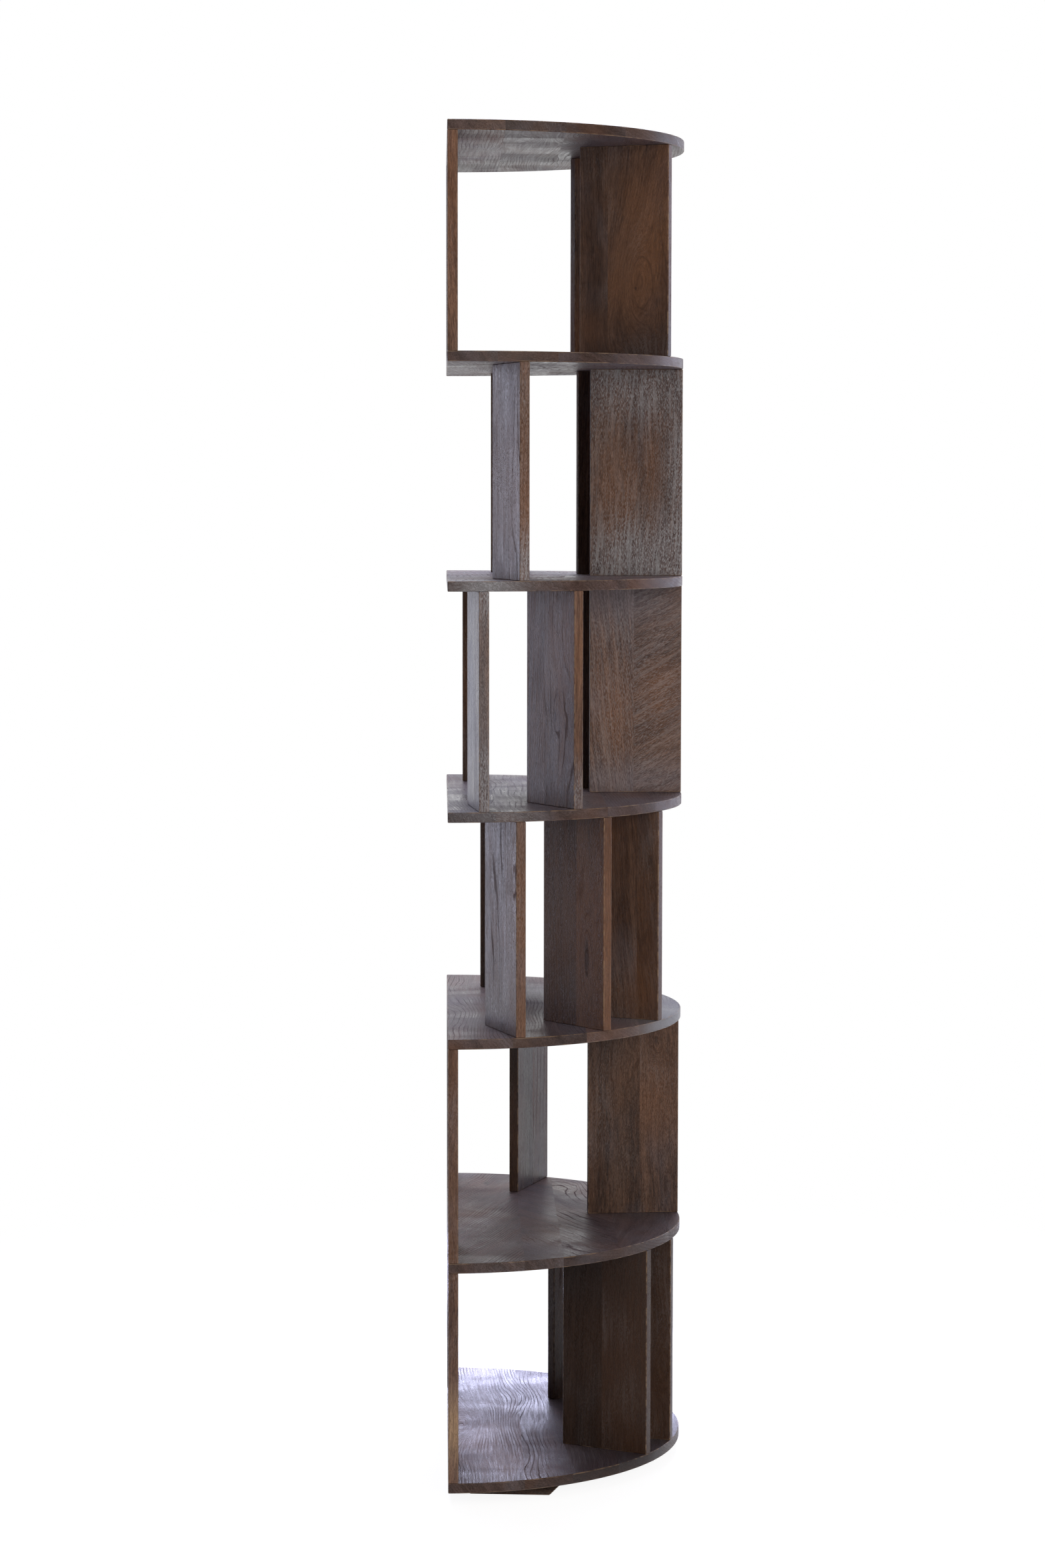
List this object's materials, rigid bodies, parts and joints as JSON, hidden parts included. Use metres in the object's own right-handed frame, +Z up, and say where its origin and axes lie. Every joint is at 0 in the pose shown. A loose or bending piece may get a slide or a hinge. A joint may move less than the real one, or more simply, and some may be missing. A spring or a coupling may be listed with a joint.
{
  "type": "half-round open bookcase",
  "caption": "Tall half-round bookcase of dark stained wood: half-disc boards held apart by radial uprights, open all round and at the flat back.",
  "frame": {"origin": "on the floor under the middle of the piece: halfway along the straight back edge and halfway from it to the nose of the curve", "axes": "+Z up, +X along the straight back edge, +Y out of the flat back; the round front bulges toward -Y"},
  "size_m": [0.72, 0.36, 2.009],
  "materials": {
    "board_wood": "dark grey-brown stain under a satin lacquer, swirling grain",
    "upright_wood": "dark brown stain under a satin lacquer, upright grain and glued staves",
    "runner_wood": "brown stain, satin",
    "screw_steel": "plain zinc-plated steel"
  },
  "bodies": {
    "root": {"shelf_1": "board_wood", "shelf_2": "board_wood", "shelf_3": "board_wood", "shelf_4": "board_wood", "shelf_5": "board_wood", "shelf_6": "board_wood", "shelf_7": "board_wood", "bay_1_upright_1": "upright_wood", "bay_1_upright_2": "upright_wood", "bay_1_upright_3": "upright_wood", "bay_1_upright_4": "upright_wood", "bay_2_upright_1": "upright_wood", "bay_2_upright_2": "upright_wood", "bay_2_upright_3": "upright_wood", "bay_2_upright_4": "upright_wood", "bay_3_upright_1": "upright_wood", "bay_3_upright_2": "upright_wood", "bay_3_upright_3": "upright_wood", "bay_3_upright_4": "upright_wood", "bay_3_upright_5": "upright_wood", "bay_4_upright_1": "upright_wood", "bay_4_upright_2": "upright_wood", "bay_4_upright_3": "upright_wood", "bay_4_upright_4": "upright_wood", "bay_5_upright_1": "upright_wood", "bay_5_upright_2": "upright_wood", "bay_5_upright_3": "upright_wood", "bay_5_upright_4": "upright_wood", "bay_6_upright_1": "upright_wood", "bay_6_upright_2": "upright_wood", "bay_6_upright_3": "upright_wood", "bay_6_upright_4": "upright_wood", "bay_6_upright_5": "upright_wood", "runner_left_end": "runner_wood", "runner_left_nose": "runner_wood", "runner_right_nose": "runner_wood", "runner_right_end": "runner_wood", "runner_left_end_screw_1": "screw_steel", "runner_left_end_screw_2": "screw_steel", "runner_left_nose_screw_1": "screw_steel", "runner_left_nose_screw_2": "screw_steel", "runner_right_nose_screw_1": "screw_steel", "runner_right_nose_screw_2": "screw_steel", "runner_right_end_screw_1": "screw_steel", "runner_right_end_screw_2": "screw_steel"}
  },
  "joints": []
}
